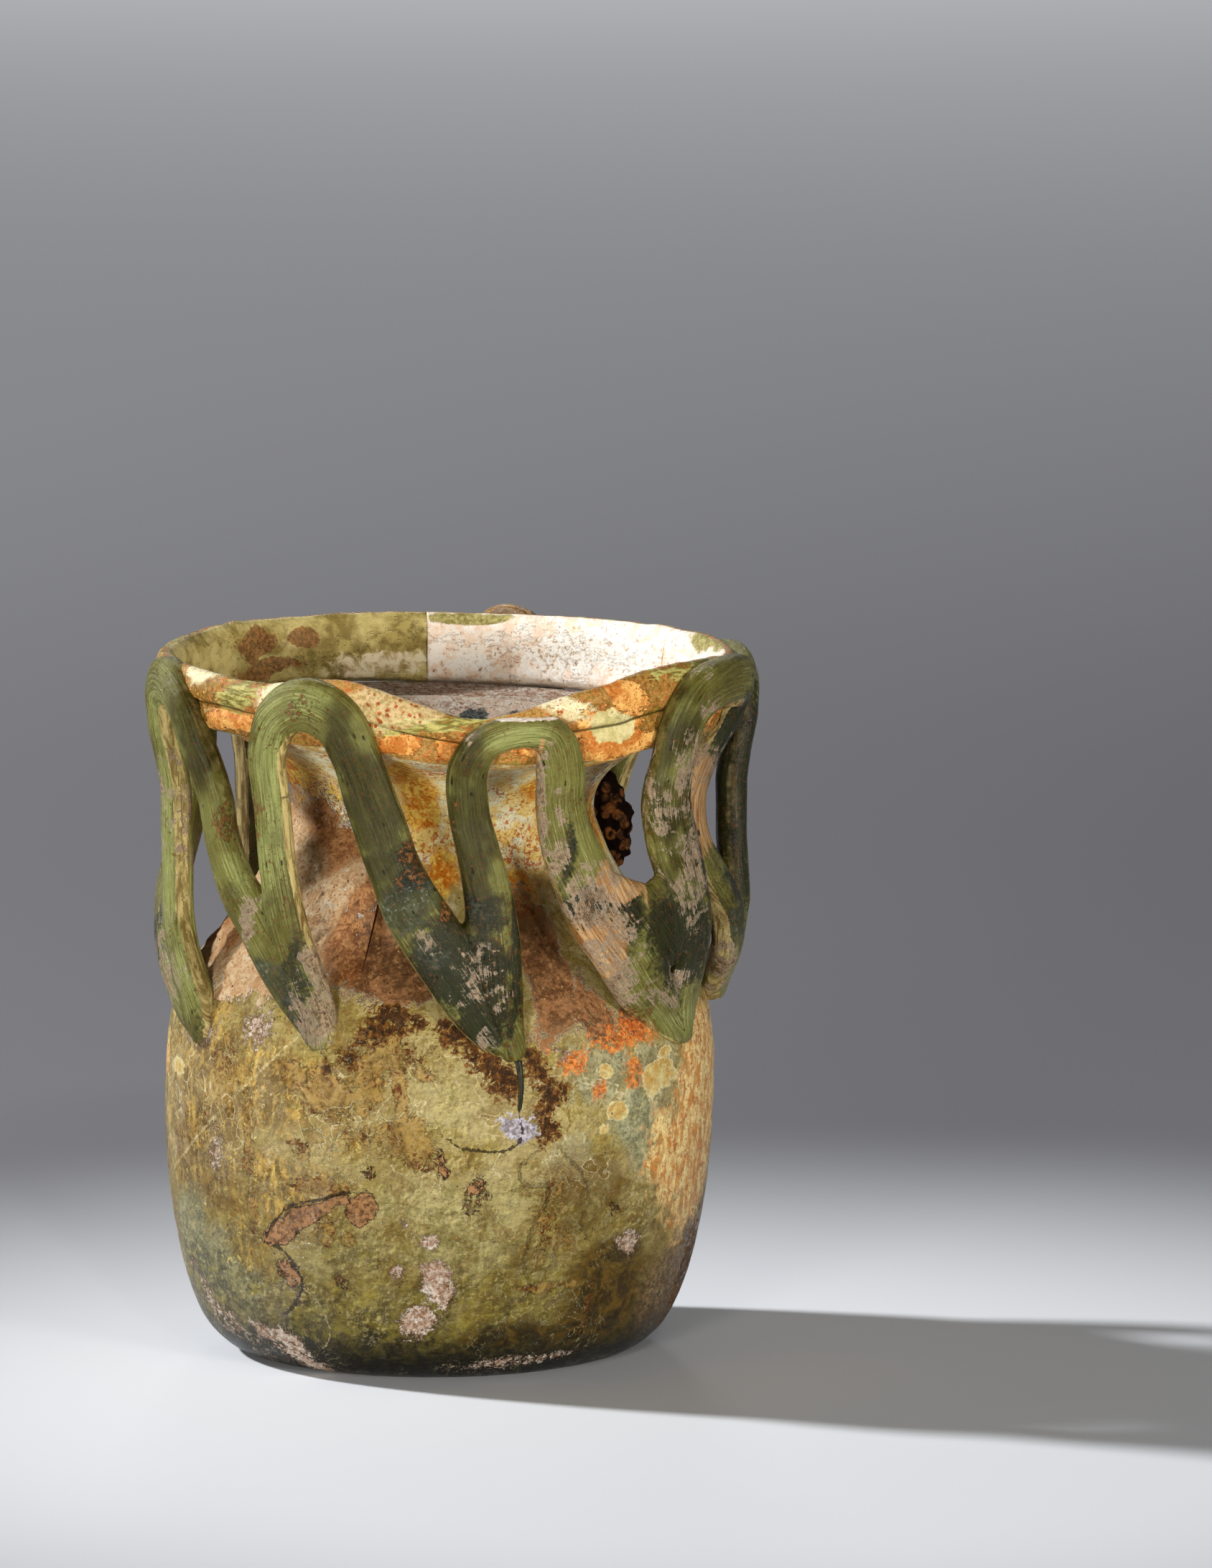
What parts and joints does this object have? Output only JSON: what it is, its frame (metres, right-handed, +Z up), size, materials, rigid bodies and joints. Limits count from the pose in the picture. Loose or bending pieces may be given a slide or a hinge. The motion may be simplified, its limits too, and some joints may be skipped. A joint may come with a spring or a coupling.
{
  "type": "glass jar",
  "caption": "Ancient blown glass jar with round body, narrow neck, folded flaring rim and an open zigzag trail that loops from the rim to the shoulder.",
  "frame": {"origin": "under the middle of the jar's outline, in the plane that the jar rests on", "axes": "+Z up, -Y toward the side that the picture shows, +X to the right as seen from there"},
  "size_m": [0.0838, 0.0844, 0.0978],
  "materials": {
    "vessel_glass": "weathered yellow-green blown glass with amber films and pits",
    "rim_glass": "weathered yellow-green folded glass with tan and orange crust",
    "trail_glass": "olive green trailed glass with fine lengthwise streaks",
    "dark_glass": "dark green glass thread",
    "lime_crust": "pinkish cream lime crust, rough",
    "soil": "brown crumbly soil"
  },
  "bodies": {
    "root": {"vessel": "vessel_glass", "rim_fold": "rim_glass", "rim_sherd": "rim_glass", "trail_loop_1": "trail_glass", "trail_loop_2": "trail_glass", "trail_loop_3": "trail_glass", "trail_loop_4": "trail_glass", "trail_loop_5": "trail_glass", "trail_loop_6": "trail_glass", "trail_loop_7": "trail_glass", "trail_drip": "dark_glass", "pontil_scar": "vessel_glass", "neck_lime_crust": "lime_crust", "mouth_lime_crust": "lime_crust", "soil_lump": "soil"}
  },
  "joints": []
}
